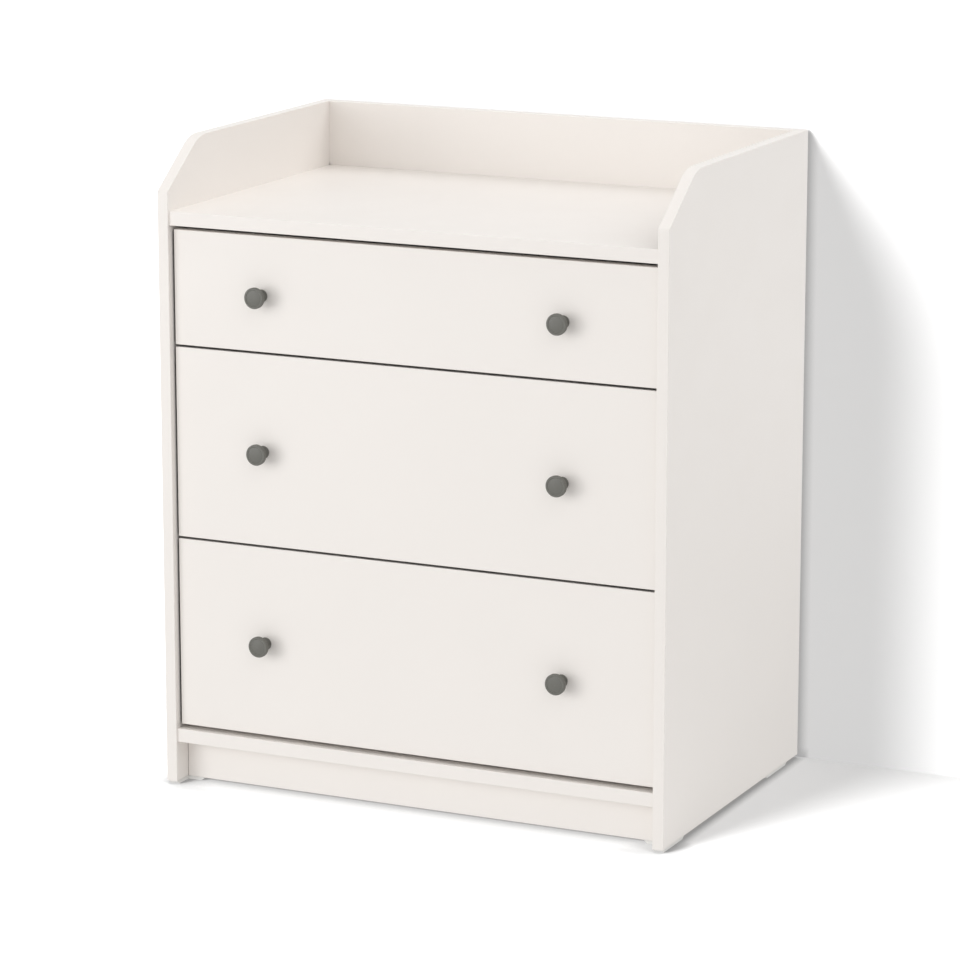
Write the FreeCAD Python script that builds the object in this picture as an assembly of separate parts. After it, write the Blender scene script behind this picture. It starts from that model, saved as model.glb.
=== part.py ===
"""Three-drawer chest with a raised rim round its top, for a changing mat.

Row frame in millimetres: X across (right is positive), Y from front to back,
Z up. The origin lies on the floor, in the middle of the outer box, which
reaches from the knobs' faces to the rear edges of the side panels.
"""
import FreeCAD, Part
import math
import os

Vec = FreeCAD.Vector
X_AXIS = Vec(1, 0, 0)
Y_AXIS = Vec(0, 1, 0)
Z_AXIS = Vec(0, 0, 1)
SIDES = (("left", -1), ("right", 1))

# ---------------------------------------------------------------- driving sizes
# Case
case_width = 700.0
case_depth = 460.0            # side panels, front edge to rear edge
case_height = 840.0
board = 15.0                  # sides, rail and plinth
shelf_board = 18.0            # top and bottom board
rim_height = 87.0             # rim above the top board
corner_drop = 61.5            # slanted front corner of the sides: down ...
corner_run = 84.0             # ... and back
corner_round_upper = 60.0
corner_round_lower = 4.0
edge_round = 0.8              # rounded arrises of all faced boards
board_recess = 3.0            # top and bottom board behind the side edges
plinth_setback = 30.0
plinth_height = 53.0
rail_drop = 45.0              # rail below the underside of the top board
back_sheet = 3.0
back_inset = 7.0              # back panel ahead of the rear edges
back_groove = 7.0             # groove depth round the back panel

# Glides under the sides
foot_height = 4.0
foot_inset = 1.5              # from the faces and front edge of a side panel
foot_front_length = 68.5
foot_plinth_reach = 23.0      # second leg of a front glide, along the plinth
foot_rear_length = 73.0
foot_rear_gap = 37.0          # rear glide ends this far ahead of the rear edge
foot_bevel_length = 4.0
foot_bevel_height = 3.2
peg_radius = 2.5
peg_length = 10.0

# Drawer fronts
front_board = 15.0
front_recess = 10.0           # behind the side edges
front_side_gap = 2.5
front_gap = 3.0               # between two fronts
front_bottom_gap = 5.0
front_top_gap = 5.5
upper_front_height = 148.0

# Drawer boxes
box_board = 12.0
box_lift = 14.0               # underside of the box above its front's lower edge
upper_box_drop = 34.0         # box below its front's upper edge, low drawer
tall_box_drop = 45.5          # the same on the tall drawers
box_rear_gap = 16.0           # to the back panel
box_sheet = 3.0               # thin bottom
box_groove = 6.0
box_groove_lift = 10.0        # groove above the underside of the box

# Knobs
knob_spread = 415.0           # between the two knobs' axes
knob_drop = 2.0               # axis below the middle of its front
knob_projection = 22.0
knob_head_radius = 13.5
knob_head_thickness = 5.2
knob_head_round = 1.3
knob_rim_width = 2.0
knob_rim_step = 0.9           # face just inside the rim, below the rim
knob_underside_rise = 2.2     # cone under the head
knob_head_chamfer = 0.6
knob_neck_radius = 6.0
knob_base_radius = 8.2
knob_base_thickness = 1.6
knob_base_round = 0.6
knob_flare_radius = 7.4       # both ends of the hollow neck
knob_bore_depth = 11.0

# Runners: a channel in the case and a rail on the drawer, each with a roller
runner_rear_gap = 23.5        # channel to the back panel
runner_overlap = 100.0        # channel and rail still share this, drawer open
runner_space = 12.5           # case side to drawer box
runner_sheet = 1.2
roller_radius = 8.0
roller_width = 7.0
roller_gap = 1.0              # roller to its sheet, along the pin
roller_end_distance = 12.0    # axis from the end of its sheet
pin_radius = 2.5
pin_head_radius = 4.0
pin_head_thickness = 0.8
pin_head_gap = 0.3
rail_leg = 16.0               # rail above the underside of the box
track_width = 9.8
channel_lower_lip = 10.0
channel_upper_lip = 7.0
channel_front_gap = 1.5       # behind the drawer front
rail_front_gap = 0.5
stop_height = 3.0             # front stop pressed up from the lower lip
stop_length = 4.0
end_tab_height = 12.0         # rear stop of the channel
end_tab_margin = 1.5          # tab clear of the lip's free edge
sheet_bend = 0.8              # outer bend radius of runners and brackets

# Clearances
bore_clearance = 0.05         # running fit of a roller on its pin
track_clearance = 0.3         # roller to its track
lip_clearance = 1.0           # rail track to the upper lip
lower_lip_clearance = 0.5     # case roller to the lower lip
end_clearance = 0.5           # roller to the rear stop, drawer shut
stop_clearance = 0.3          # roller to the front stop, drawer open
fit_clearance = 0.05          # fittings in their holes
hole_end_clearance = 1.0      # blind holes deeper than what sits in them
thread_end_clearance = 0.5    # the same under a screw's or a stud's thread
groove_clearance = 0.1        # each face of a thin sheet in its groove
groove_end_clearance = 0.5
overcut = 1.0                 # cutters start this far outside a face

# Fittings
screw_radius = 1.75
screw_head_radius = 3.4
screw_head_depth = 2.0
screw_length = 12.0
screw_tip = 2.0
screw_point_share = 0.25      # of the screw's radius, at the very tip
recess_width = 0.7            # cross recess in every head
recess_depth = 1.1
recess_share = 0.6            # reach of the recess, of its head's radius
back_screw_radius = 2.5
back_screw_head_radius = 4.6
back_screw_head_depth = 2.6
back_screw_length = 42.0
knob_screw_radius = 2.0
knob_screw_head_radius = 4.0
knob_screw_head_height = 2.3
knob_screw_head_round = 0.92
knob_screw_recess_share = 0.55
knob_screw_grip = 9.0         # length inside the knob
dowel_radius = 4.0
dowel_length = 29.0
dowel_in_face = 9.0
dowel_chamfer = 0.8
stud_thread_radius = 2.5
stud_thread_length = 11.0
stud_shank_radius = 3.0
stud_neck_radius = 1.5
stud_neck_length = 4.8
stud_head_length = 4.0
stud_head_start = 3.0         # before the cam's axis
cam_distance = 24.0           # cam axis from the joint
case_cam_radius = 7.4
case_cam_height = 11.6
shelf_cam_height = 13.4
box_cam_radius = 5.9
box_cam_height = 9.5
cam_wall = 2.0
cam_sink = 0.2                # below the board's face
head_slack = 0.3              # stud head in the cam

# Places of the fittings along their boards
shelf_cam_inset = 70.0
shelf_dowel_inset = 38.0
rail_cam_inset = 30.0
plinth_dowel_inset = 9.0
rail_cam_spread = 400.0
rail_dowel_spread = 200.0
plinth_dowel_spread = 400.0
channel_screw_inset = 32.0
rail_screw_inset = 34.0
box_cam_inset = 30.0
back_screw_inset = 28.0
bottom_screw_spread = 320.0

# Wall brackets
bracket_spread = 500.0
bracket_width = 20.0
bracket_leg = 30.0
bracket_sheet = 2.0
bracket_screw_insets = (9.0, 21.0)
wall_hole_radius = 2.75
wall_hole_drop = 18.0         # below the top board

# ------------------------------------------------------------- derived planes
knob_overhang = knob_projection - front_recess
case_front = -(case_depth - knob_overhang) / 2
case_back = case_front + case_depth
outer_x = case_width / 2
inner_x = outer_x - board

top_upper = case_height - rim_height
top_lower = top_upper - shelf_board
bottom_lower = foot_height + plinth_height
bottom_upper = bottom_lower + shelf_board
rail_front = case_back - board
rail_lower = top_lower - rail_drop
back_rear = case_back - back_inset
back_front = back_rear - back_sheet
shelf_front = case_front + board_recess
plinth_front = case_front + plinth_setback

front_face = case_front + front_recess
front_rear = front_face + front_board
front_x = inner_x - front_side_gap
box_x = inner_x - runner_space
box_inner_x = box_x - box_board
box_rear = back_front - box_rear_gap

opening = top_lower - bottom_upper
tall_front_height = (opening - front_bottom_gap - front_top_gap - upper_front_height - 2 * front_gap) / 2

channel_front = front_rear + channel_front_gap
channel_rear = back_front - runner_rear_gap
runner_length = channel_rear - channel_front
drawer_travel = runner_length - runner_overlap
rail_start = front_rear + rail_front_gap
rail_end = rail_start + runner_length
case_roller_y = channel_front + roller_end_distance
drawer_roller_y = rail_end - roller_end_distance


# ------------------------------------------------------------------ primitives
def box(x_pair, y_pair, z_pair):
    """Block between two planes on each axis, given in any order."""
    low = Vec(min(x_pair), min(y_pair), min(z_pair))
    high = Vec(max(x_pair), max(y_pair), max(z_pair))
    size = high - low
    return Part.makeBox(size.x, size.y, size.z, low)


def cylinder(radius, start, length, along=Z_AXIS):
    return Part.makeCylinder(radius, length, start, along)


def cone(radius_start, radius_end, start, length):
    return Part.makeCone(radius_start, radius_end, length, start, Z_AXIS)


def joined(shapes):
    whole = shapes[0]
    for shape in shapes[1:]:
        whole = whole.fuse(shape)
    return whole.removeSplitter()


def placed(shape, origin, along):
    """Copy of a shape drawn along +Z from the origin, moved to its place."""
    turn = FreeCAD.Rotation(Z_AXIS, along)
    return shape.transformed(FreeCAD.Placement(origin, turn).toMatrix(), True)


def prism(points, along):
    """Closed outline pushed along a vector."""
    outline = Part.makePolygon(points + [points[0]])
    return Part.Face(outline).extrude(along)


def rounded(shape, radius, wanted):
    edges = [edge for edge in shape.Edges if wanted(edge.BoundBox)]
    return shape.makeFillet(radius, edges)


def same(one, other):
    return abs(other - one) < 1e-6


def runs_across(b, y, z):
    """True for the box of an edge that runs along X at one Y and Z."""
    return same(b.YMin, y) and same(b.YMax, y) and same(b.ZMin, z) and same(b.ZMax, z)


def runs_deep(b, x, z):
    """True for the box of an edge that runs along Y at one X and Z."""
    return same(b.XMin, x) and same(b.XMax, x) and same(b.ZMin, z) and same(b.ZMax, z)


def drilled(shape, cutters):
    """Shape less every cutter that reaches it."""
    near = [cutter for cutter in cutters if cutter.BoundBox.intersect(shape.BoundBox)]
    if not near:
        return shape
    return shape.cut(Part.makeCompound(near))


# --------------------------------------------------------------------- fittings
def cross_recess(reach):
    half = recess_width / 2
    span = (-overcut, recess_depth)
    return box((-reach, reach), (-half, half), span).fuse(box((-half, half), (-reach, reach), span))


def countersunk_screw(radius, head_radius, head_depth, length):
    """Screw from the outer face of its head, and the cutter for its hole."""
    body_length = length - screw_tip
    solid = joined([
        cone(head_radius, radius, Vec(0, 0, 0), head_depth),
        cylinder(radius, Vec(0, 0, head_depth), body_length - head_depth),
        cone(radius, radius * screw_point_share, Vec(0, 0, body_length), screw_tip),
    ]).cut(cross_recess(head_radius * recess_share))
    grow = fit_clearance
    cutter = joined([
        cylinder(head_radius + grow, Vec(0, 0, -overcut), overcut + grow),
        cone(head_radius + grow, radius + grow, Vec(0, 0, grow), head_depth),
        cylinder(radius + grow, Vec(0, 0, 0), length + thread_end_clearance),
    ])
    return solid, cutter


def knob_screw():
    """Pan-headed screw from the seat of its head, and its hole's cutter."""
    length = front_board + knob_screw_grip
    head = cylinder(knob_screw_head_radius, Vec(0, 0, -knob_screw_head_height), knob_screw_head_height)
    head = rounded(head, knob_screw_head_round, lambda b: same(b.ZMax, -knob_screw_head_height))
    recess = cross_recess(knob_screw_head_radius * knob_screw_recess_share)
    recess.translate(Vec(0, 0, -knob_screw_head_height))
    solid = joined([head, cylinder(knob_screw_radius, Vec(0, 0, 0), length)]).cut(recess)
    cutter = cylinder(knob_screw_radius + fit_clearance, Vec(0, 0, 0), front_board + knob_bore_depth)
    return solid, cutter


def dowel():
    """Wooden dowel across a joint at Z = 0; the panel's end is on +Z."""
    start = Vec(0, 0, -dowel_in_face)
    solid = cylinder(dowel_radius, start, dowel_length)
    ends = [edge for edge in solid.Edges if same(edge.BoundBox.ZMin, edge.BoundBox.ZMax)]
    solid = solid.makeChamfer(dowel_chamfer, ends)
    cutter = cylinder(
        dowel_radius + fit_clearance,
        start - Z_AXIS * hole_end_clearance,
        dowel_length + 2 * hole_end_clearance,
    )
    return solid, cutter


def cam_stud():
    """Stud screwed in below Z = 0, its head waiting inside the cam above."""
    head_start = cam_distance - stud_head_start
    neck_start = head_start - stud_neck_length
    solid = joined([
        cylinder(stud_thread_radius, Vec(0, 0, -stud_thread_length), stud_thread_length),
        cylinder(stud_shank_radius, Vec(0, 0, 0), neck_start),
        cylinder(stud_neck_radius, Vec(0, 0, neck_start), stud_neck_length),
        cylinder(stud_shank_radius, Vec(0, 0, head_start), stud_head_length),
    ])
    grow = fit_clearance
    cutter = joined([
        cylinder(
            stud_thread_radius + grow,
            Vec(0, 0, -stud_thread_length - thread_end_clearance),
            stud_thread_length + thread_end_clearance,
        ),
        cylinder(stud_shank_radius + grow, Vec(0, 0, 0), cam_distance),
    ])
    return solid, cutter


def cam_disc(radius, height, depth):
    """Cam with its open face at Z = 0 and its body below.

    The stud comes in along +X from the left, `depth` below the open face.
    """
    disc = cylinder(radius, Vec(0, 0, -height), height)
    pocket = stud_shank_radius + head_slack
    slot = stud_neck_radius + head_slack
    pocket_z = (-depth - pocket, -depth + pocket)
    slot_z = (-depth - slot, -depth + slot)
    disc = disc.cut(box((-radius + cam_wall, pocket), (-pocket, pocket), pocket_z))
    disc = disc.cut(box((-radius - overcut, 0), (-slot, slot), slot_z))
    recess = cross_recess(radius * recess_share)
    recess.rotate(Vec(0, 0, 0), X_AXIS, 180)
    return disc.cut(recess)


class Fittings:
    """Collects the hardware of one body and every hole that it needs."""

    def __init__(self):
        self.groups = {}
        self.cutters = []

    def add(self, group, solid, cutter=None):
        self.groups.setdefault(group, []).append(solid)
        if cutter is not None:
            self.cutters.append(cutter)

    def add_pair(self, group, template, origin, along):
        solid, cutter = template
        self.add(group, placed(solid, origin, along), placed(cutter, origin, along))

    def add_cam(self, group, joint, along, face, thickness, radius, height):
        """Stud from `joint` along a board, and its cam in the face `face`."""
        self.add_pair(group, cam_stud(), joint, along)
        depth = thickness / 2 - cam_sink
        centre = joint + along * cam_distance
        open_face = centre + face * depth
        turn = FreeCAD.Rotation(along, face.cross(along), face, "ZXY")
        place = FreeCAD.Placement(open_face, turn).toMatrix()
        disc = cam_disc(radius, height, depth).transformed(place, True)
        hole_start = centre + face * (thickness / 2 + overcut)
        hole_depth = overcut + cam_sink + height + fit_clearance
        hole = cylinder(radius + fit_clearance, hole_start, hole_depth, face * -1)
        self.add(group, disc, hole)

    def node(self, group):
        return Part.makeCompound(self.groups[group])


# ------------------------------------------------------------------ case boards
def side_panel(sign):
    x_start = sign * inner_x
    low = foot_height
    outline = [
        Vec(x_start, case_front, low),
        Vec(x_start, case_back, low),
        Vec(x_start, case_back, case_height),
        Vec(x_start, case_front + corner_run, case_height),
        Vec(x_start, case_front, case_height - corner_drop),
    ]
    panel = prism(outline, Vec(sign * board, 0, 0))

    upper_corner = (case_front + corner_run, case_height)
    lower_corner = (case_front, case_height - corner_drop)
    panel = rounded(panel, corner_round_upper, lambda b: runs_across(b, *upper_corner))
    panel = rounded(panel, corner_round_lower, lambda b: runs_across(b, *lower_corner))
    return rounded(panel, edge_round, lambda b: same(b.XMin, b.XMax))


def back_grooves():
    """One cutter for the grooves in both sides, the rail and the bottom board."""
    reach_x = inner_x + back_groove
    return box(
        (-reach_x, reach_x),
        (back_front - groove_clearance, back_rear + groove_clearance),
        (bottom_upper - back_groove, rail_lower + back_groove),
    )


def back_panel():
    reach_x = inner_x + back_groove - groove_end_clearance
    return box(
        (-reach_x, reach_x),
        (back_front, back_rear),
        (
            bottom_upper - back_groove + groove_end_clearance,
            rail_lower + back_groove - groove_end_clearance,
        ),
    )


def shelf(y_end, z_low):
    """Top or bottom board; only its front arrises are rounded."""
    z_high = z_low + shelf_board
    slab = box((-inner_x, inner_x), (shelf_front, y_end), (z_low, z_high))
    return rounded(
        slab,
        edge_round,
        lambda b: runs_across(b, shelf_front, z_low) or runs_across(b, shelf_front, z_high),
    )


def back_rail():
    slab = box((-inner_x, inner_x), (rail_front, case_back), (rail_lower, case_height))
    return rounded(
        slab,
        edge_round,
        lambda b: runs_across(b, rail_front, case_height) or runs_across(b, case_back, case_height),
    )


def plinth():
    """Board on edge; its lower arrises and the front ones at both ends are rounded."""
    plinth_rear = plinth_front + board
    slab = box((-inner_x, inner_x), (plinth_front, plinth_rear), (foot_height, bottom_lower))

    def is_rounded(b):
        lower = runs_across(b, plinth_front, foot_height) or runs_across(b, plinth_rear, foot_height)
        front_end = same(b.YMax, plinth_front) and same(b.ZLength, plinth_height)
        return lower or front_end

    return rounded(slab, edge_round, is_rounded)


def glide_profile(start, end):
    """Side view of a glide as (along, height) pairs, bevelled at both ends."""
    return [
        (start + foot_bevel_length, 0),
        (end - foot_bevel_length, 0),
        (end, foot_bevel_height),
        (end, foot_height),
        (start, foot_height),
        (start, foot_bevel_height),
    ]


def glide(sign, is_front):
    """Glide under a side panel, and the holes for its two pressed-in pegs."""
    x_outer = sign * (outer_x - foot_inset)
    x_inner = sign * inner_x
    if is_front:
        y_start = case_front + foot_inset
        y_end = y_start + foot_front_length
    else:
        y_end = case_back - foot_rear_gap
        y_start = y_end - foot_rear_length
    strip = [Vec(x_outer, y, z) for y, z in glide_profile(y_start, y_end)]
    pieces = [prism(strip, Vec(x_inner - x_outer, 0, 0))]
    if is_front:
        reach = board - foot_inset + foot_plinth_reach
        branch = [Vec(x_outer - sign * run, plinth_front, z) for run, z in glide_profile(0, reach)]
        pieces.append(prism(branch, Vec(0, board, 0)))
    quarter = (y_end - y_start) / 4  # each peg stands in the middle of one half
    holes = []
    for y in (y_start + quarter, y_end - quarter):
        place = Vec(sign * (outer_x - board / 2), y, foot_height)
        pieces.append(cylinder(peg_radius, place, peg_length))
        holes.append(cylinder(peg_radius + fit_clearance, place, peg_length + hole_end_clearance))
    return joined(pieces), holes


def case_fittings():
    """Dowels, cams and studs that hold the case boards together."""
    kit = Fittings()
    cam_size = (board, case_cam_radius, case_cam_height)
    shelf_cam_size = (shelf_board, case_cam_radius, shelf_cam_height)
    cams = "case_cam_fittings"
    down = Z_AXIS * -1
    for _, sign in SIDES:
        inward = X_AXIS * -sign
        joint_x = sign * inner_x
        for z_low, y_end in ((top_lower, rail_front), (bottom_lower, case_back)):
            z_mid = z_low + shelf_board / 2
            for y in (shelf_front + shelf_cam_inset, y_end - shelf_cam_inset):
                kit.add_cam(cams, Vec(joint_x, y, z_mid), inward, down, *shelf_cam_size)
            for y in (shelf_front + shelf_dowel_inset, y_end - shelf_dowel_inset):
                kit.add_pair("case_dowels", dowel(), Vec(joint_x, y, z_mid), inward)
        rail_y = rail_front + board / 2
        for z in (rail_lower + rail_cam_inset, case_height - rail_cam_inset):
            kit.add_cam(cams, Vec(joint_x, rail_y, z), inward, Y_AXIS, *cam_size)
        kit.add_pair("case_dowels", dowel(), Vec(joint_x, rail_y, (rail_lower + case_height) / 2), inward)
        plinth_y = plinth_front + board / 2
        plinth_mid = (foot_height + bottom_lower) / 2
        kit.add_cam(cams, Vec(joint_x, plinth_y, plinth_mid), inward, Y_AXIS, *cam_size)
        for z in (foot_height + plinth_dowel_inset, bottom_lower - plinth_dowel_inset):
            kit.add_pair("case_dowels", dowel(), Vec(joint_x, plinth_y, z), inward)
    top_mid = top_lower + shelf_board / 2
    forward = Y_AXIS * -1
    for x in (-rail_cam_spread / 2, rail_cam_spread / 2):
        kit.add_cam(cams, Vec(x, rail_front, top_mid), forward, down, *shelf_cam_size)
    for x in (-rail_dowel_spread / 2, 0, rail_dowel_spread / 2):
        kit.add_pair("case_dowels", dowel(), Vec(x, rail_front, top_mid), forward)
    for x in (-plinth_dowel_spread / 2, 0, plinth_dowel_spread / 2):
        place = Vec(x, plinth_front + board / 2, bottom_lower)
        kit.add_pair("case_dowels", dowel(), place, down)
    return kit


# ---------------------------------------------------------------- wall brackets
def wall_bracket(x_mid):
    """Angle under the top board; its upright leg lies on the rail."""
    half = bracket_width / 2
    corner = [
        (rail_front, top_lower),
        (rail_front - bracket_leg, top_lower),
        (rail_front - bracket_leg, top_lower - bracket_sheet),
        (rail_front - bracket_sheet, top_lower - bracket_sheet),
        (rail_front - bracket_sheet, top_lower - bracket_leg),
        (rail_front, top_lower - bracket_leg),
    ]
    angle = prism([Vec(x_mid - half, y, z) for y, z in corner], X_AXIS * bracket_width)
    return rounded(angle, sheet_bend, lambda b: runs_across(b, rail_front, top_lower))


def wall_holes():
    """Cutters through each bracket's leg and through the rail behind it."""
    start_y = rail_front - bracket_sheet - overcut
    length = case_back + overcut - start_y
    return [
        cylinder(wall_hole_radius, Vec(x, start_y, top_lower - wall_hole_drop), length, Y_AXIS)
        for x in (-bracket_spread / 2, bracket_spread / 2)
    ]


# ---------------------------------------------------------------------- runners
def runner_heights(box_low):
    """Levels of one runner, all from the underside of its drawer box."""
    track_under = box_low + rail_leg - runner_sheet
    case_roller_z = track_under - track_clearance - roller_radius
    lip_top = case_roller_z - roller_radius - lower_lip_clearance
    return {
        "track_under": track_under,
        "case_roller_z": case_roller_z,
        "lip_top": lip_top,
        "drawer_roller_z": lip_top + track_clearance + roller_radius,
        "upper_lip_under": box_low + rail_leg + lip_clearance,
    }


def roller_span(sheet_x, towards):
    """X of a roller's two faces, of its pin head and of the pin's free end."""
    near = sheet_x + towards * roller_gap
    far = near + towards * roller_width
    head = far + towards * pin_head_gap
    return near, far, head, head + towards * pin_head_thickness


def roller_pin(sheet_x, towards, y, z):
    """Pin that stands out of a sheet and ends in a flat head."""
    _, _, head, end = roller_span(sheet_x, towards)
    along = X_AXIS * towards
    shank = cylinder(pin_radius, Vec(sheet_x, y, z), abs(head - sheet_x), along)
    return [shank, cylinder(pin_head_radius, Vec(head, y, z), abs(end - head), along)]


def roller(sheet_x, towards, y, z):
    near, far, _, _ = roller_span(sheet_x, towards)
    along = X_AXIS * towards
    wheel = cylinder(roller_radius, Vec(near, y, z), abs(far - near), along)
    rims = [edge for edge in wheel.Edges if same(edge.BoundBox.XMin, edge.BoundBox.XMax)]
    wheel = wheel.makeFillet(sheet_bend, rims)
    bore = cylinder(pin_radius + bore_clearance, Vec(near, y, z), abs(far - near), along)
    return wheel.cut(bore)


def channel(sign, box_low):
    """C-shaped channel on the case side, open towards the drawer."""
    level = runner_heights(box_low)
    wall_x = sign * inner_x
    web_x = sign * (inner_x - runner_sheet)
    lower_x = sign * (inner_x - channel_lower_lip)
    upper_x = sign * (inner_x - channel_upper_lip)
    stop_x = sign * (inner_x - channel_lower_lip + end_tab_margin)
    run = (channel_front, channel_rear)
    lip_top = level["lip_top"]
    lip_low = lip_top - runner_sheet
    upper_under = level["upper_lip_under"]
    upper_top = upper_under + runner_sheet
    folded = joined([
        box((wall_x, web_x), run, (lip_low, upper_top)),
        box((wall_x, lower_x), run, (lip_low, lip_top)),
        box((wall_x, upper_x), run, (upper_under, upper_top)),
    ])
    folded = rounded(
        folded,
        sheet_bend,
        lambda b: runs_deep(b, wall_x, lip_low) or runs_deep(b, wall_x, upper_top),
    )
    tab_y = drawer_roller_y + roller_radius + end_clearance
    tab = box((wall_x, stop_x), (tab_y, tab_y + runner_sheet), (lip_low, lip_top + end_tab_height))
    fall = roller_radius + track_clearance - stop_height
    stop_reach = math.sqrt(max(roller_radius**2 - fall**2, 0)) + stop_clearance
    stop_y = drawer_roller_y - drawer_travel - stop_reach
    stop = box((wall_x, stop_x), (stop_y - stop_length, stop_y), (lip_low, lip_top + stop_height))
    pin = roller_pin(web_x, -sign, case_roller_y, level["case_roller_z"])
    return joined([folded, tab, stop] + pin)


def drawer_rail(sign, box_low):
    """Folded rail under a drawer side, its track standing out over the roller."""
    level = runner_heights(box_low)
    run = (rail_start, rail_end)
    side_x = sign * box_x
    leg_x = sign * (box_x + runner_sheet)
    track_x = sign * (box_x + track_width)
    seat_x = sign * box_inner_x
    seat_low = box_low - runner_sheet
    track_under = level["track_under"]
    track_top = track_under + runner_sheet
    folded = joined([
        box((side_x, leg_x), run, (seat_low, track_top)),
        box((side_x, track_x), run, (track_under, track_top)),
        box((leg_x, seat_x), run, (seat_low, box_low)),
    ])
    folded = rounded(
        folded,
        sheet_bend,
        lambda b: runs_deep(b, leg_x, seat_low) or runs_deep(b, side_x, track_top),
    )
    pin = roller_pin(leg_x, sign, drawer_roller_y, level["drawer_roller_z"])
    return joined([folded] + pin)


def case_rollers(box_low):
    """Both rollers of one drawer that stay in the case."""
    z = runner_heights(box_low)["case_roller_z"]
    wheels = [roller(sign * (inner_x - runner_sheet), -sign, case_roller_y, z) for _, sign in SIDES]
    return Part.makeCompound(wheels)


def drawer_rollers(box_low):
    """Both rollers that travel with one drawer."""
    z = runner_heights(box_low)["drawer_roller_z"]
    wheels = [roller(sign * (box_x + runner_sheet), sign, drawer_roller_y, z) for _, sign in SIDES]
    return Part.makeCompound(wheels)


# ------------------------------------------------------------------------ knobs
def turned(start, steps):
    """Solid turned about Z from a profile of (radius, height) points.

    A step is a tuple of one point for a straight run, or of two for an arc
    through the first to the second.
    """
    edges = []
    here = Vec(start[0], 0, start[1])
    for step in steps:
        points = [Vec(radius, 0, height) for radius, height in step]
        curve = Part.LineSegment if len(points) == 1 else Part.Arc
        edges.append(curve(here, *points).toShape())
        here = points[-1]
    return Part.Face(Part.Wire(edges)).revolve(Vec(0, 0, 0), Z_AXIS, 360)


def knob():
    """Turned knob along +Z, its base at Z = 0 on the drawer front."""
    top = knob_projection
    head_low = top - knob_head_thickness
    flare_top = head_low - knob_underside_rise
    neck_mid = (knob_base_thickness + flare_top) / 2
    rim_inner = knob_head_radius - knob_head_round - knob_rim_width
    face_edge = top - knob_rim_step
    # The face is a cap of a sphere whose centre lies on the knob's axis.
    dome_radius = (rim_inner**2 + knob_rim_step**2) / (2 * knob_rim_step)
    dome_mid = top - dome_radius + math.sqrt(dome_radius**2 - (rim_inner / 2) ** 2)
    solid = turned((0, 0), [
        ((knob_base_radius, 0),),
        ((knob_base_radius, knob_base_thickness),),
        ((knob_flare_radius, knob_base_thickness),),
        ((knob_neck_radius, neck_mid), (knob_flare_radius, flare_top)),
        ((knob_head_radius - knob_head_chamfer, head_low),),
        ((knob_head_radius, head_low + knob_head_chamfer),),
        ((knob_head_radius, top),),
        ((rim_inner + knob_rim_step, top),),
        ((rim_inner, face_edge),),
        ((rim_inner / 2, dome_mid), (0, top)),
        ((0, 0),),
    ])

    def is_ring(b, radius, z):
        return same(b.ZMin, z) and same(b.ZMax, z) and same(b.XMax, radius)

    solid = rounded(solid, knob_head_round, lambda b: is_ring(b, knob_head_radius, top))
    base_ring = (knob_base_radius, knob_base_thickness)
    return rounded(solid, knob_base_round, lambda b: is_ring(b, *base_ring))


# ---------------------------------------------------------------------- drawers
def drawer_front(low, high):
    slab = box((-front_x, front_x), (front_face, front_rear), (low, high))
    return slab.makeFillet(edge_round, slab.Edges)


def box_rounded_top(slab, high):
    """Drawer box board with its two long upper arrises rounded."""
    length = max(slab.BoundBox.XLength, slab.BoundBox.YLength)

    def is_long_and_high(b):
        long = same(max(b.XLength, b.YLength), length)
        return long and same(b.ZMin, high) and same(b.ZMax, high)

    return rounded(slab, edge_round, is_long_and_high)


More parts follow.
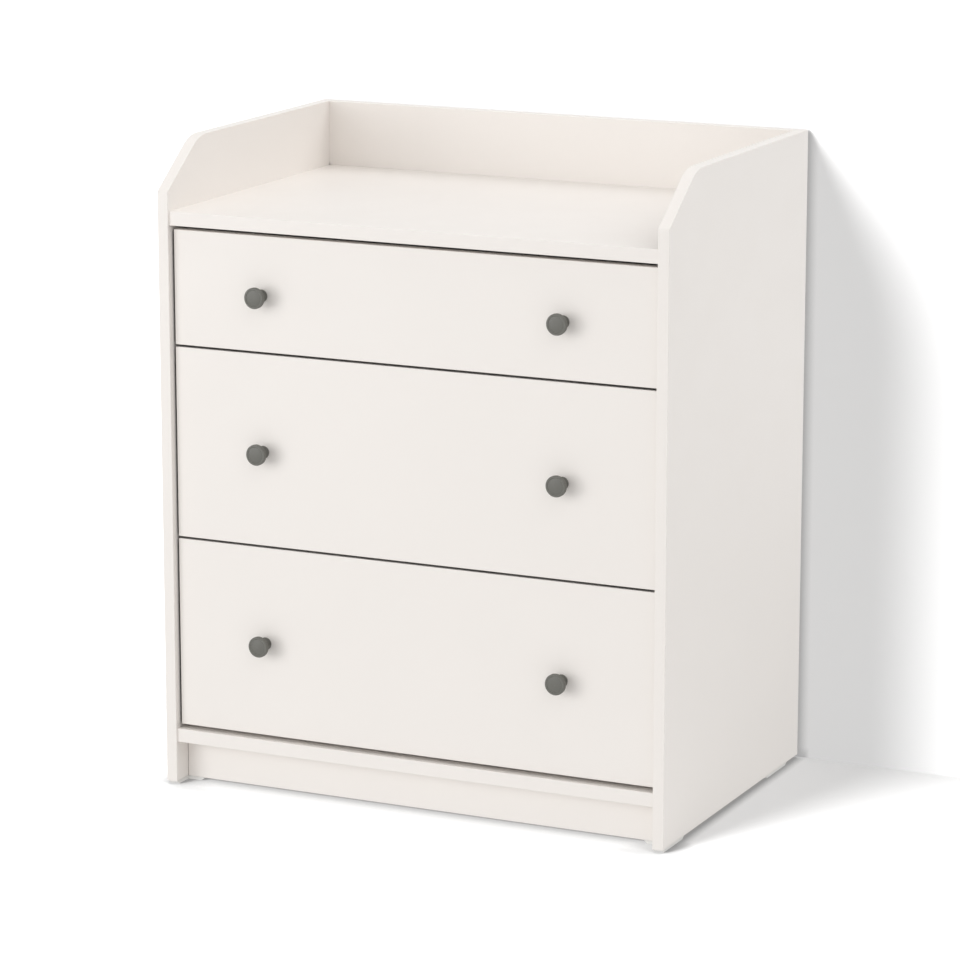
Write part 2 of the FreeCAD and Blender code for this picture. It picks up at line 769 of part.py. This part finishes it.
def drawer(prefix, low, high, box_drop):
    """All pieces of one drawer between two heights of its front."""
    box_low = low + box_lift
    box_high = high - box_drop
    sheet_low = box_low + box_groove_lift
    sheet_high = sheet_low + box_sheet
    back_y = box_rear - box_board
    knob_z = (low + high) / 2 - knob_drop
    kit = Fittings()
    screws = prefix + "_drawer_screws"
    cams = prefix + "_drawer_cam_fittings"
    screw = countersunk_screw(screw_radius, screw_head_radius, screw_head_depth, screw_length)
    back_screw = countersunk_screw(
        back_screw_radius,
        back_screw_head_radius,
        back_screw_head_depth,
        back_screw_length,
    )
    cam_size = (box_board, box_cam_radius, box_cam_height)
    rail_screw_places = (
        rail_start + rail_screw_inset,
        (rail_start + rail_end) / 2,
        rail_end - rail_screw_inset,
    )
    for _, sign in SIDES:
        outward = X_AXIS * sign
        mid_x = sign * (box_x - box_board / 2)
        for z in (box_low + box_cam_inset, box_high - box_cam_inset):
            kit.add_cam(cams, Vec(mid_x, front_rear, z), Y_AXIS, outward * -1, *cam_size)
        for z in (sheet_high + back_screw_inset, box_high - back_screw_inset):
            kit.add_pair(screws, back_screw, Vec(sign * box_x, box_rear - box_board / 2, z), outward * -1)
        for y in rail_screw_places:
            kit.add_pair(screws, screw, Vec(mid_x, y, box_low - runner_sheet), Z_AXIS)
        knob_place = Vec(sign * knob_spread / 2, front_rear, knob_z)
        kit.add_pair(screws, knob_screw(), knob_place, Y_AXIS * -1)
    for x in (-bottom_screw_spread / 2, bottom_screw_spread / 2):
        kit.add_pair(screws, screw, Vec(x, box_rear - box_board / 2, sheet_low), Z_AXIS)

    groove = box(
        (-box_inner_x - box_groove, box_inner_x + box_groove),
        (front_rear - box_groove, box_rear + overcut),
        (sheet_low - groove_clearance, sheet_high + groove_clearance),
    )
    nodes = {}
    nodes[prefix + "_drawer_front"] = drilled(drawer_front(low, high), kit.cutters + [groove])
    for name, sign in SIDES:
        side = box((sign * box_inner_x, sign * box_x), (front_rear, box_rear), (box_low, box_high))
        side = box_rounded_top(side, box_high)
        nodes[prefix + "_drawer_side_" + name] = drilled(side, kit.cutters + [groove])
        nodes[prefix + "_drawer_rail_" + name] = drilled(drawer_rail(sign, box_low), kit.cutters)
        place = Vec(sign * knob_spread / 2, front_face, knob_z)
        nodes[prefix + "_knob_" + name] = drilled(placed(knob(), place, Y_AXIS * -1), kit.cutters)
    back = box((-box_inner_x, box_inner_x), (back_y, box_rear), (sheet_high, box_high))
    nodes[prefix + "_drawer_back"] = drilled(box_rounded_top(back, box_high), kit.cutters)
    sheet_reach = box_inner_x + box_groove - groove_end_clearance
    sheet = box(
        (-sheet_reach, sheet_reach),
        (front_rear - box_groove + groove_end_clearance, box_rear),
        (sheet_low, sheet_high),
    )
    nodes[prefix + "_drawer_bottom"] = drilled(sheet, kit.cutters)
    nodes[screws] = kit.node(screws)
    nodes[cams] = kit.node(cams)
    nodes[prefix + "_drawer_rollers"] = drawer_rollers(box_low)
    return nodes


def drawer_levels():
    """Name, lower edge, upper edge and box drop of each drawer, from the top."""
    upper_high = top_lower - front_top_gap
    upper_low = upper_high - upper_front_height
    middle_high = upper_low - front_gap
    middle_low = middle_high - tall_front_height
    lower_high = middle_low - front_gap
    lower_low = lower_high - tall_front_height
    return [
        ("upper", upper_low, upper_high, upper_box_drop),
        ("middle", middle_low, middle_high, tall_box_drop),
        ("lower", lower_low, lower_high, tall_box_drop),
    ]


# ------------------------------------------------------------------------- case
def case(levels):
    kit = case_fittings()
    screw = countersunk_screw(screw_radius, screw_head_radius, screw_head_depth, screw_length)
    nodes = {}
    for prefix, low, _, _ in levels:
        box_low = low + box_lift
        level = runner_heights(box_low)
        screw_z = (level["lip_top"] + level["upper_lip_under"]) / 2
        nodes[prefix + "_case_rollers"] = case_rollers(box_low)
        for _, sign in SIDES:
            places = (
                channel_front + channel_screw_inset,
                (channel_front + channel_rear) / 2,
                channel_rear - channel_screw_inset,
            )
            for y in places:
                head = Vec(sign * (inner_x - runner_sheet), y, screw_z)
                kit.add_pair("case_screws", screw, head, X_AXIS * sign)
    for x in (-bracket_spread / 2, bracket_spread / 2):
        for inset in bracket_screw_insets:
            head = Vec(x, rail_front - inset, top_lower - bracket_sheet)
            kit.add_pair("case_screws", screw, head, Z_AXIS)

    pegs = {"left": [], "right": []}
    for name, sign in SIDES:
        for place, is_front in (("front", True), ("rear", False)):
            foot, holes = glide(sign, is_front)
            nodes["glide_" + place + "_" + name] = foot
            pegs[name] += holes
    cutters = kit.cutters + wall_holes() + [back_grooves()]
    for name, sign in SIDES:
        nodes["side_panel_" + name] = drilled(side_panel(sign), cutters + pegs[name])
        for prefix, low, _, _ in levels:
            piece = channel(sign, low + box_lift)
            nodes[prefix + "_channel_" + name] = drilled(piece, kit.cutters)
    nodes["top_board"] = drilled(shelf(rail_front, top_lower), cutters)
    nodes["bottom_board"] = drilled(shelf(case_back, bottom_lower), cutters)
    nodes["back_rail"] = drilled(back_rail(), cutters)
    nodes["plinth"] = drilled(plinth(), cutters)
    nodes["back_panel"] = back_panel()
    brackets = [wall_bracket(x) for x in (-bracket_spread / 2, bracket_spread / 2)]
    nodes["wall_brackets"] = Part.makeCompound([drilled(piece, cutters) for piece in brackets])
    for group in kit.groups:
        nodes[group] = kit.node(group)
    return nodes


def main():
    os.makedirs("parts", exist_ok=True)
    levels = drawer_levels()
    nodes = case(levels)
    for prefix, low, high, box_drop in levels:
        nodes.update(drawer(prefix, low, high, box_drop))
    for name, shape in sorted(nodes.items()):
        state = "" if shape.isValid() else "  NOT VALID"
        print("%-32s %2d solids %10.1f cm3%s" % (name, len(shape.Solids), shape.Volume / 1000, state))
        shape.exportStep("parts/" + name + ".step")
    print(len(nodes), "nodes")


main()
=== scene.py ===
"""Looks of a white three-drawer chest with a raised rim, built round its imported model.

Lengths are in metres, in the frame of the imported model: X across, Y from front
to back, Z up, with the origin on the floor under the middle of the chest.
Angles are in degrees, and colours are linear red, green and blue.
"""
import math
from collections import namedtuple

import bpy
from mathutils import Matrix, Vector


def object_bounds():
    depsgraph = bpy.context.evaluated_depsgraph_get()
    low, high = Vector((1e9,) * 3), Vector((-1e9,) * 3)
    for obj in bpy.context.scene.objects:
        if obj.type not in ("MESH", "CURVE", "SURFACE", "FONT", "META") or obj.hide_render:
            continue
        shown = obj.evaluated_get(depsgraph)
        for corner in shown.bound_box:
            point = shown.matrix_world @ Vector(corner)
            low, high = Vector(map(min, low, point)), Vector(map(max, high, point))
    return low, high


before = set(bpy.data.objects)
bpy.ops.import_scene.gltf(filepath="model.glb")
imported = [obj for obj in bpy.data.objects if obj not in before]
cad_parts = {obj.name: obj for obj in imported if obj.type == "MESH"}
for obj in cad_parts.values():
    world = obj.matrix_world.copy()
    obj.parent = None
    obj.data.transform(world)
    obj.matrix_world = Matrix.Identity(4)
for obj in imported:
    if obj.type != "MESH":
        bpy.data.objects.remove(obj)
cad_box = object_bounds()
chest_middle = (cad_box[0] + cad_box[1]) / 2
scene = bpy.context.scene

MM = 0.001
MICRON = 0.000001

# ------------------------------------------------------------------ photograph
IMAGE_SIDE = 960.0            # pixels
FOCAL_LENGTH = 4153.0         # pixels
SENSOR = 36.0                 # mm
CAMERA_AZIMUTH = 25.26        # from the front towards the right
CAMERA_ELEVATION = 12.80      # above the horizon
CAMERA_DISTANCE = 5.374       # from the point aimed at
AIM_ACROSS = -0.0048          # of that point, to the right of the origin in the view
AIM_HEIGHT = 0.3926

# ----------------------------------------------------------------------- light
AMBIENT = 0.40                # brightness of the world as a light
BACKGROUND = 1.0              # brightness of the world where it is seen

# Soft distant lamps: azimuth of the side they shine from, from the front towards the
# right, elevation, width, and share: the brightness of a white surface square to them.
Lamp = namedtuple("Lamp", "azimuth elevation width share")
CHEST_LAMPS = {               # for the chest alone
    "key": Lamp(-25.0, 10.0, 50.0, 0.355),
    "front": Lamp(30.0, 30.0, 60.0, 0.13),
    "right": Lamp(110.0, 50.0, 60.0, 0.40),
    "back": Lamp(180.0, 70.0, 60.0, 0.165),
}
SHADOW_LAMP = Lamp(-26.0, 23.0, 26.0, 2.8)  # for the backdrop alone
LAMP_DISTANCE = 4.0           # of the lamps' own places, which their light ignores

# One soft box stands near the left front, about as high as the upper knobs, and
# lights the chest and the backdrop.
BOX_PLACE = (-2.0, -2.6, 0.6)
BOX_SIDE = 1.5
BOX_SHARE = 0.13

# -------------------------------------------------------------------- backdrop
BACKDROP_HALF = 30.0
FLOOR_DEPTH = 0.3 * MM        # under the glides
WALL_GAP = 4.0 * MM           # behind the chest
FLOOR_BOUNCE = 0.10           # floor's colour for the light that bounces off it
FLOOR_GLOW = 0.56             # added to that bounce
FLOOR_SEEN = 0.65             # floor's colour where it is seen
FLOOR_LIGHT = 1.30            # brightness of the unshaded floor, as seen: over white
WALL_SEEN = 0.41              # wall's colour
WALL_LIFT = 0.41              # added to it, which keeps the shadow on the wall pale

# A painted contact shadow lies round the foot of the chest, darker where the sheets are shut in:
# its reach in front, its reach beside the chest and on the wall, and the share of light left where
# chest and sheet touch.
CONTACT_FRONT = 70.0 * MM
CONTACT_SIDE = 15.0 * MM
CONTACT_FLOOR = 0.48
CONTACT_WALL = 0.62
TOUCHING = 0.5                # openness of a sheet at the foot of an upright face

# -------------------------------------------------------------------- finishes
WHITE = (1.0, 1.0, 1.0)
WHITE_FOIL = (0.855, 0.814, 0.775)
BOX_FOIL = (0.82, 0.785, 0.75)
RAW_FIBREBOARD = (0.30, 0.19, 0.105)
KNOB_GREY = (0.118, 0.116, 0.101)
RUNNER_ENAMEL = (0.80, 0.80, 0.785)
ZINC_STEEL = (0.62, 0.63, 0.64)
ZINC_ALLOY = (0.42, 0.425, 0.43)
BEECH = (0.60, 0.41, 0.25)
ROLLER_PLASTIC = (0.76, 0.755, 0.73)
GLIDE_PLASTIC = (0.80, 0.79, 0.76)

PAINT_IOR = 1.46
PLASTIC_IOR = 1.5

# Painted shade in the gaps between boards: the foil's colour darkens as their openness falls
# between two values.
GAP_REACH = 6.0 * MM
GAP_OPEN, GAP_SHUT = 0.45, 0.2
GAP_SHADE_SHARE = 0.9               # share of the painted shade in a shut gap
GAP_SHADE_TONE = 0.12               # tone of the painted shade, as a factor of the foil's colour


# ---------------------------------------------------------------- shader nodes
class Tree:
    """Short calls for the nodes of one material or of the world."""

    def __init__(self, owner):
        owner.use_nodes = True
        self.nodes = owner.node_tree.nodes
        self.links = owner.node_tree.links
        self.nodes.clear()

    def add(self, kind, inputs=None, **settings):
        """Adds a node with its inputs linked or set, and returns its outputs."""
        node = self.nodes.new("ShaderNode" + kind)
        for name, value in settings.items():
            setattr(node, name, value)
        for name, value in (inputs or {}).items():
            if isinstance(value, bpy.types.NodeSocket):
                self.links.new(value, node.inputs[name])
            else:
                node.inputs[name].default_value = value
        return node.outputs

    def math(self, operation, first, second=0.0):
        return self.add("Math", {0: first, 1: second}, operation=operation)[0]

    def times(self, first, second):
        return self.math("MULTIPLY", first, second)

    def without(self, share):
        """1 less the share."""
        return self.math("SUBTRACT", 1.0, share)

    def dot(self, first, second):
        return self.add("VectorMath", {0: first, 1: second}, operation="DOT_PRODUCT")["Value"]

    def ramp(self, value, start, end, low=0.0, high=1.0):
        """Value mapped from start..end to low..high, and held at both."""
        inputs = {"Value": value, "From Min": start, "From Max": end, "To Min": low, "To Max": high}
        return self.add("MapRange", inputs)["Result"]

    def mix(self, share, first, second):
        """Colour between two colours."""
        # The node has sockets of the same names for numbers, so these go by their index.
        share_in, first_in, second_in, colour_out = 0, 6, 7, 2
        inputs = {share_in: share, first_in: first, second_in: second}
        return self.add("Mix", inputs, data_type="RGBA")[colour_out]

    def tint(self, tone, share, strength, colour):
        """Tone with a colour laid over it where the share is 1, at this strength."""
        return self.mix(self.times(share, strength), tone, colour)

    def place(self, stretch=(1.0, 1.0, 1.0)):
        """Place on the piece in metres, stretched per axis."""
        point = self.add("TexCoord")["Object"]
        return self.add("Mapping", {"Vector": point, "Scale": stretch})[0]

    def noise(self, size, detail=2.0, roughness=0.5, stretch=(1.0, 1.0, 1.0)):
        """Noise from 0 to 1 whose spots are about `size` metres wide."""
        inputs = {
            "Vector": self.place(stretch),
            "Scale": 1 / size,
            "Detail": detail,
            "Roughness": roughness,
        }
        return self.add("TexNoise", inputs)[0]

    def spots(self, size, start=0.3, end=0.7, **pattern):
        """Noise spread out, so that it is 0 below the start and 1 over the end."""
        return self.ramp(self.noise(size, **pattern), start, end)

    def edge(self, width):
        """1 on the arrises of a piece, 0 further than `width` from them."""
        soft = self.add("Bevel", {"Radius": width}, samples=6)[0]
        flat = self.add("NewGeometry")["Normal"]
        straight, turned = 0.995, 0.90  # cosines
        return self.ramp(self.dot(soft, flat), straight, turned)

    def openness(self, reach):
        """1 where nothing stands within `reach` metres, less in corners and gaps."""
        return self.add("AmbientOcclusion", {"Distance": reach}, samples=8)["AO"]

    def facing(self, direction):
        """1 where the surface faces a direction of the frame, otherwise 0."""
        normal = self.add("TexCoord")["Normal"]
        aside, along = 0.6, 0.8  # cosines
        return self.ramp(self.dot(normal, direction), aside, along)

    def bump(self, height, depth, below=None):
        """Normal of a relief `depth` metres deep, over another relief or none."""
        inputs = {"Height": height, "Strength": 1.0, "Distance": depth}
        if below is not None:
            inputs["Normal"] = below
        return self.add("Bump", inputs)[0]

    def surface(self, tone, roughness, relief, **extra):
        """Ends a material in its one shader."""
        inputs = {"Base Color": tone, "Roughness": roughness, "Normal": relief, **extra}
        shader = self.add("BsdfPrincipled", inputs)[0]
        self.add("OutputMaterial", {"Surface": shader})


def shade(colour, factor):
    """Colour made lighter or darker, opaque."""
    return tuple(channel * factor for channel in colour) + (1.0,)


def new_material(name):
    material = bpy.data.materials.new(name)
    return material, Tree(material)


# ------------------------------------------------------------------- materials
def foil(name, colour, roughness, peel_depth):
    """Smooth faced board: faint clouds, flecks, orange peel, polished arrises with a painted
    highlight, painted shade in gaps.
    """
    material, tree = new_material(name)
    flecks = tree.spots(1.2 * MM, start=0.35, end=0.65)
    edge = tree.edge(1.6 * MM)
    # Painted shade: the foil turns darker where gaps and corners shut it in.
    gap_shade = tree.ramp(tree.openness(GAP_REACH), GAP_OPEN, GAP_SHUT, 0.0, GAP_SHADE_SHARE)
    tone = tree.mix(tree.spots(0.25), shade(colour, 0.985), shade(colour, 1.0))
    tone = tree.tint(tone, flecks, 0.5, shade(colour, 0.99))
    # Painted highlight: the arrises a little lighter than the face.
    tone = tree.tint(tone, edge, 0.5, shade(colour, 1.04))
    tone = tree.mix(gap_shade, tone, shade(colour, GAP_SHADE_TONE))
    handled, polished = 0.09, 0.06  # changes of the roughness
    matt = tree.ramp(tree.noise(0.06, detail=4.0), 0.35, 0.7, roughness, roughness + handled)
    matt = tree.math("SUBTRACT", matt, tree.times(edge, polished))
    relief = tree.bump(tree.noise(3.5 * MM, detail=1.0), peel_depth)
    relief = tree.bump(tree.noise(0.5 * MM, detail=1.0), peel_depth / 6, relief)
    tree.surface(tone, matt, relief, IOR=PAINT_IOR)
    return material


def fibreboard(name, paint_colour, painted_side):
    """Thin fibreboard, painted on one side and raw brown on the others."""
    material, tree = new_material(name)
    fibres = tree.noise(1.6 * MM, detail=5.0, roughness=0.65)
    strands = tree.noise(0.6 * MM, detail=3.0, stretch=(0.25, 1.0, 1.0))
    light_strands = tree.ramp(strands, 0.6, 0.75, 0.0, 0.5)
    dark, pale = shade(RAW_FIBREBOARD, 0.72), shade(RAW_FIBREBOARD, 1.25)
    raw = tree.mix(tree.ramp(fibres, 0.3, 0.7), dark, pale)
    raw = tree.mix(light_strands, raw, shade(RAW_FIBREBOARD, 1.6))
    thin, full = shade(paint_colour, 0.98), shade(paint_colour, 1.0)
    paint = tree.mix(tree.spots(0.15), thin, full)
    painted = tree.facing(painted_side)
    tone = tree.mix(painted, raw, paint)
    raw_roughness, paint_roughness = 0.72, 0.42
    matt = tree.ramp(painted, 0.0, 1.0, raw_roughness, paint_roughness)
    tree.surface(tone, matt, tree.bump(fibres, 40 * MICRON), IOR=PAINT_IOR)
    return material


def powder_coat(name, colour, roughness, grain_depth, arris_highlight):
    """Stoved powder coat: fine grain, slight tone flecks, arrises lighter as a painted highlight.
    """
    material, tree = new_material(name)
    flecks = tree.spots(0.5 * MM, detail=3.0)
    tone = tree.mix(flecks, shade(colour, 0.90), shade(colour, 1.06))
    tone = tree.tint(tone, tree.spots(8.0 * MM), 0.5, shade(colour, 0.95))
    # Painted highlight: the arrises lighter than the face, by the given factor.
    tone = tree.tint(tone, tree.edge(0.9 * MM), 0.6, shade(colour, arris_highlight))
    sleek, dull = roughness - 0.05, roughness + 0.06
    matt = tree.ramp(tree.noise(4.0 * MM, detail=3.0), 0.3, 0.7, sleek, dull)
    relief = tree.bump(tree.noise(1.1 * MM, detail=1.0), grain_depth)
    relief = tree.bump(tree.noise(0.3 * MM, detail=1.0), grain_depth / 4, relief)
    tree.surface(tone, matt, relief)
    return material


def plated_steel(name, colour):
    """Bright zinc plate: metal with a faint mottle and fine scratches."""
    material, tree = new_material(name)
    mottle = tree.spots(1.8 * MM, detail=3.0)
    scratches = tree.spots(0.4 * MM, start=0.55, end=0.7, stretch=(0.1, 1.0, 1.0))
    tone = tree.mix(mottle, shade(colour, 0.86), shade(colour, 1.05))
    sleek, dull, scratched = 0.24, 0.36, 0.12
    matt = tree.ramp(mottle, 0.0, 1.0, sleek, dull)
    matt = tree.math("ADD", matt, tree.times(scratches, scratched))
    tree.surface(tone, matt, tree.bump(scratches, 4 * MICRON), Metallic=1.0)
    return material


def cast_zinc(name, colour):
    """Dull die-cast alloy: grainy skin with darker pits."""
    material, tree = new_material(name)
    grain = tree.noise(0.6 * MM, detail=4.0, roughness=0.6)
    pits = tree.spots(1.1 * MM, start=0.66, end=0.74)
    tone = tree.mix(tree.ramp(grain, 0.3, 0.7), shade(colour, 0.8), shade(colour, 1.1))
    tone = tree.tint(tone, pits, 0.4, shade(colour, 0.5))
    sleek, dull = 0.42, 0.58
    matt = tree.ramp(grain, 0.3, 0.7, sleek, dull)
    tree.surface(tone, matt, tree.bump(grain, 10 * MICRON), Metallic=1.0)
    return material


def turned_beech(name, colour, roughness):
    """Beech dowel: streaks with short darker flecks."""
    material, tree = new_material(name)
    streaks = tree.noise(1.2 * MM, detail=4.0, stretch=(0.12, 1.0, 1.0))
    flecks = tree.spots(0.5 * MM, start=0.62, end=0.72, stretch=(0.3, 1.0, 1.0))
    tone = tree.mix(tree.ramp(streaks, 0.3, 0.7), shade(colour, 0.82), shade(colour, 1.08))
    tone = tree.tint(tone, flecks, 0.6, shade(colour, 0.6))
    tree.surface(tone, roughness, tree.bump(streaks, 30 * MICRON))
    return material


def moulded_plastic(name, colour, roughness):
    """Moulded plastic: satin skin, faint flow marks, scuffed arrises."""
    material, tree = new_material(name)
    flow = tree.spots(12.0 * MM, detail=3.0)
    tone = tree.mix(flow, shade(colour, 0.96), shade(colour, 1.0))
    tone = tree.tint(tone, tree.edge(0.6 * MM), 0.3, shade(colour, 0.9))
    scuffs = tree.noise(2.0 * MM, detail=4.0, stretch=(0.3, 1.0, 1.0))
    sleek, dull = roughness - 0.06, roughness + 0.1
    matt = tree.ramp(scuffs, 0.35, 0.7, sleek, dull)
    tree.surface(tone, matt, tree.bump(tree.noise(0.6 * MM), 8 * MICRON), IOR=PLASTIC_IOR)
    return material


def dress_nodes():
    """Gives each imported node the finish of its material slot."""
    finishes = {
        "white_foil": foil("white_foil_look", WHITE_FOIL, roughness=0.36, peel_depth=10 * MICRON),
        "box_foil": foil("box_foil_look", BOX_FOIL, roughness=0.48, peel_depth=16 * MICRON),
        "knob_grey": powder_coat(
            "knob_grey_look", KNOB_GREY, roughness=0.42, grain_depth=12 * MICRON, arris_highlight=1.9),
        "zinc_steel": plated_steel("zinc_steel_look", ZINC_STEEL),
        "zinc_alloy": cast_zinc("zinc_alloy_look", ZINC_ALLOY),
        "beech": turned_beech("beech_look", BEECH, roughness=0.62),
        "roller_plastic": moulded_plastic("roller_plastic_look", ROLLER_PLASTIC, roughness=0.38),
        "runner_enamel": powder_coat(
            "runner_enamel_look", RUNNER_ENAMEL,
            roughness=0.34, grain_depth=20 * MICRON, arris_highlight=1.08),
        "glide_plastic": moulded_plastic("glide_plastic_look", GLIDE_PLASTIC, roughness=0.46),
    }
    up, front = (0.0, 0.0, 1.0), (0.0, -1.0, 0.0)
    sheet_up = fibreboard("drawer_bottom_look", BOX_FOIL, painted_side=up)
    sheet_front = fibreboard("back_panel_look", BOX_FOIL, painted_side=front)
    for name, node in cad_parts.items():
        slot = node.data.materials[0].name
        if slot == "fibreboard_white":
            look = sheet_front if name == "back_panel" else sheet_up
        else:
            look = finishes[slot]
        node.data.materials[0] = look


# --------------------------------------------------------- world, floor and wall
def rays_that_see(tree):
    """1 for rays that see the backdrop: from the camera, or by gloss or glass."""
    path = tree.add("LightPath")
    seen = tree.math("MAXIMUM", path["Is Camera Ray"], path["Is Glossy Ray"])
    return tree.math("MAXIMUM", seen, path["Is Transmission Ray"])


def make_world():
    scene.world = bpy.data.worlds.new("studio")
    tree = Tree(scene.world)
    strength = tree.ramp(rays_that_see(tree), 0.0, 1.0, AMBIENT, BACKGROUND)
    background = tree.add("Background", {"Color": shade(WHITE, 1.0), "Strength": strength})
    tree.add("OutputWorld", {"Surface": background[0]})


def dress_sheet(tree, colour, glow, met):
    """Matt colour and glow of a sheet, clear for the rays that don't meet it."""
    plain = tree.add("BsdfDiffuse", {"Color": colour})[0]
    light = tree.add("Emission", {"Strength": glow})[0]
    both = tree.add("AddShader", {0: plain, 1: light})[0]
    clear = tree.add("BsdfTransparent")[0]
    shader = tree.add("MixShader", {0: met, 1: clear, 2: both})[0]
    tree.add("OutputMaterial", {"Surface": shader})


def make_sheet(name, corners, material):
    mesh = bpy.data.meshes.new(name)
    mesh.from_pydata(corners, [], [(0, 1, 2, 3)])
    mesh.materials.append(material)
    sheet = bpy.data.objects.new(name, mesh)
    scene.collection.objects.link(sheet)
    return sheet


def make_floor():
    """Pale floor, lifted to white where it is seen unshaded, and clear from below."""
    material, tree = new_material("floor_look")
    front = cad_box[0].y
    depth = tree.add("SeparateXYZ", {0: tree.place()})["Y"]
    reach = tree.ramp(depth, front, front + CONTACT_FRONT, CONTACT_FRONT, CONTACT_SIDE)
    # Painted contact shadow: the seen colour and glow darken where the chest shuts the floor in.
    rim = tree.ramp(tree.openness(reach), TOUCHING, 1.0, CONTACT_FLOOR, 1.0)

    # The glow adds what the lit colour lacks of the brightness wanted.
    light = AMBIENT + SHADOW_LAMP.share * math.sin(math.radians(SHADOW_LAMP.elevation))
    lift = FLOOR_LIGHT - FLOOR_SEEN * light
    seen = rays_that_see(tree)
    colour = tree.mix(seen, shade(WHITE, FLOOR_BOUNCE), tree.times(rim, FLOOR_SEEN))
    glow = tree.ramp(seen, 0.0, 1.0, FLOOR_GLOW, tree.times(rim, lift))

    camera_ray = tree.add("LightPath")["Is Camera Ray"]
    from_below = tree.times(camera_ray, tree.add("NewGeometry")["Backfacing"])
    dress_sheet(tree, colour, glow, tree.without(from_below))

    half, low = BACKDROP_HALF, -FLOOR_DEPTH
    corners = [(-half, -half, low), (half, -half, low), (half, half, low), (-half, half, low)]
    return make_sheet("floor", corners, material)


def make_wall():
    """White wall behind the chest that only shows the shadow on it.

    Only camera rays from its front side meet it, so it neither darkens nor
    lights the chest, and the back of the chest is in plain view from behind.
    """
    material, tree = new_material("wall_look")
    side = cad_box[1].x
    across = tree.add("SeparateXYZ", {0: tree.place()})["X"]
    beside = tree.ramp(tree.math("ABSOLUTE", across), side, side + CONTACT_SIDE)
    open_share = tree.math("MAXIMUM", tree.openness(CONTACT_SIDE), beside)
    # Painted contact shadow: the wall's colour and glow darken close to the chest's back edges.
    rim = tree.ramp(open_share, TOUCHING, 1.0, CONTACT_WALL, 1.0)

    camera_ray = tree.add("LightPath")["Is Camera Ray"]
    ahead = tree.without(tree.add("NewGeometry")["Backfacing"])
    colour, glow = tree.times(rim, WALL_SEEN), tree.times(rim, WALL_LIFT)
    dress_sheet(tree, colour, glow, tree.times(camera_ray, ahead))

    half, low, y = BACKDROP_HALF, -FLOOR_DEPTH, cad_box[1].y + WALL_GAP
    corners = [(-half, y, low), (half, y, low), (half, y, half), (-half, y, half)]
    wall = make_sheet("wall", corners, material)
    wall.visible_shadow = False  # rays of openness would stop at it, clear or not
    return wall


# ------------------------------------------------------------ lamps and camera
def compass(azimuth, elevation):
    """Direction from the chest, by azimuth from its front towards the right."""
    a, e = math.radians(azimuth), math.radians(elevation)
    return Vector((math.sin(a) * math.cos(e), -math.cos(a) * math.cos(e), math.sin(e)))


def stand(name, device, place, aim):
    """Stands a lamp or camera at a place, turned towards the aim."""
    holder = bpy.data.objects.new(name, device)
    holder.location = place
    holder.rotation_mode = "QUATERNION"
    holder.rotation_quaternion = (aim - place).to_track_quat("-Z", "Y")
    scene.collection.objects.link(holder)
    return holder


def lit_by(name, sheets, state):
    """Collection that keeps a lamp on these sheets, or keeps it off them."""
    group = bpy.data.collections.new(name)
    for sheet in sheets:
        group.objects.link(sheet)
    for entry in group.collection_objects:
        entry.light_linking.link_state = state
    return group


def add_distant_lamp(name, lamp, receivers):
    """Distant lamp that lights only what the collection of receivers lets it."""
    sun = bpy.data.lights.new(name, "SUN")
    sun.angle = math.radians(lamp.width)
    sun.energy = lamp.share * math.pi
    place = chest_middle + compass(lamp.azimuth, lamp.elevation) * LAMP_DISTANCE
    stand(name, sun, place, chest_middle).light_linking.receiver_collection = receivers


def make_lamps(sheets):
    """Distant lamps for the chest, one for the backdrop and a soft box for both."""
    chest_only = lit_by("chest_only", sheets, "EXCLUDE")
    backdrop_only = lit_by("backdrop_only", sheets, "INCLUDE")
    add_distant_lamp("shadow", SHADOW_LAMP, backdrop_only)
    for name, lamp in CHEST_LAMPS.items():
        add_distant_lamp(name, lamp, chest_only)

    place = Vector(BOX_PLACE)
    box = bpy.data.lights.new("soft_box", "AREA")
    box.shape = "SQUARE"
    box.size = BOX_SIDE
    box.energy = BOX_SHARE * math.pi**2 * (place - chest_middle).length_squared
    stand("soft_box", box, place, chest_middle)


def make_camera():
    camera = bpy.data.cameras.new("camera")
    camera.sensor_width = SENSOR
    camera.lens = FOCAL_LENGTH / IMAGE_SIDE * SENSOR
    a = math.radians(CAMERA_AZIMUTH)
    aim = Vector((AIM_ACROSS * math.cos(a), AIM_ACROSS * math.sin(a), AIM_HEIGHT))
    place = aim + compass(CAMERA_AZIMUTH, CAMERA_ELEVATION) * CAMERA_DISTANCE
    scene.camera = stand("camera", camera, place, aim)


# ----------------------------------------------------------------------- scene
make_camera()
make_world()
make_lamps([make_floor(), make_wall()])
dress_nodes()

scene.view_settings.view_transform = "Standard"
